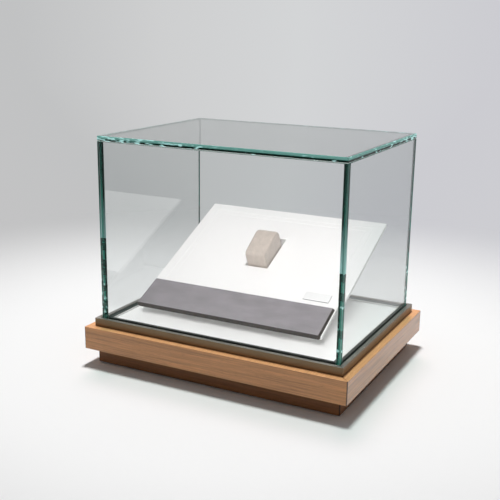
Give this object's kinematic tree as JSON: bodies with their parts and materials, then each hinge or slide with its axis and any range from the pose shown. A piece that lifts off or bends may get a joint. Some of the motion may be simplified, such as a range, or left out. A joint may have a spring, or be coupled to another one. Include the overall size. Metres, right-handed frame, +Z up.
{
  "type": "countertop display case",
  "caption": "Glass bonnet lifting off a metal-framed wooden base, over a white sloped ramp with a dark front band, a cushion in a well and a plain label plate.",
  "frame": {"origin": "middle of the footprint, on the surface that the case stands on", "axes": "+Z up; the front faces -Y, and +X points to the case's right side as seen from the front"},
  "size_m": [0.44, 0.34, 0.3605],
  "materials": {
    "foot_felt": "dark felt",
    "plinth_wood": "satin lacquer, darker",
    "plywood": "bare",
    "screw_steel": "zinc plated",
    "base_wood": "satin lacquer",
    "bronze_frame": "satin bronze anodised",
    "gasket_rubber": "matte",
    "deck_white": "matte white laminate",
    "bonnet_glass": "clear, green at the edges",
    "ramp_white": "matte white",
    "band_leather": "taupe, fine grained",
    "label_white": "satin",
    "cushion_leather": "ivory, soft"
  },
  "bodies": {
    "base": {"foot_pads": "foot_felt", "plinth_rail_front": "plinth_wood", "plinth_rail_right": "plinth_wood", "plinth_rail_back": "plinth_wood", "plinth_rail_left": "plinth_wood", "plinth_corner_blocks": "plywood", "plinth_screws": "screw_steel", "base_rail_front": "base_wood", "base_rail_right": "base_wood", "base_rail_back": "base_wood", "base_rail_left": "base_wood", "base_splines": "plywood", "base_core": "plywood", "frame_rail_front": "bronze_frame", "frame_rail_right": "bronze_frame", "frame_rail_back": "bronze_frame", "frame_rail_left": "bronze_frame", "frame_screws": "screw_steel", "gasket_front": "gasket_rubber", "gasket_right": "gasket_rubber", "gasket_back": "gasket_rubber", "gasket_left": "gasket_rubber", "deck_panel": "deck_white"},
    "bonnet": {"glass_front": "bonnet_glass", "glass_right": "bonnet_glass", "glass_back": "bonnet_glass", "glass_left": "bonnet_glass", "glass_top": "bonnet_glass"},
    "ramp": {"ramp_board": "ramp_white", "front_band": "band_leather", "label_plate": "label_white", "cushion_tray": "ramp_white", "ramp_bracket_left": "ramp_white", "ramp_bracket_right": "ramp_white", "ramp_cleats": "plywood", "cleat_screws": "screw_steel", "ramp_tie_rail": "ramp_white", "tie_rail_screws": "screw_steel", "ramp_pads": "foot_felt"},
    "cushion": {"display_cushion": "cushion_leather"}
  },
  "joints": [
    {"name": "bonnet_lift", "type": "slide", "parent": "base", "child": "bonnet", "axis": [0, 0, 1], "range_m": [0, 0.3]},
    {"name": "ramp_lift", "type": "slide", "parent": "base", "child": "ramp", "axis": [0, 0, 1], "range_m": [0, 0.07]},
    {"name": "cushion_lift", "type": "slide", "parent": "ramp", "child": "cushion", "axis": [0, -0.4226, 0.9063], "range_m": [0, 0.045]}
  ]
}
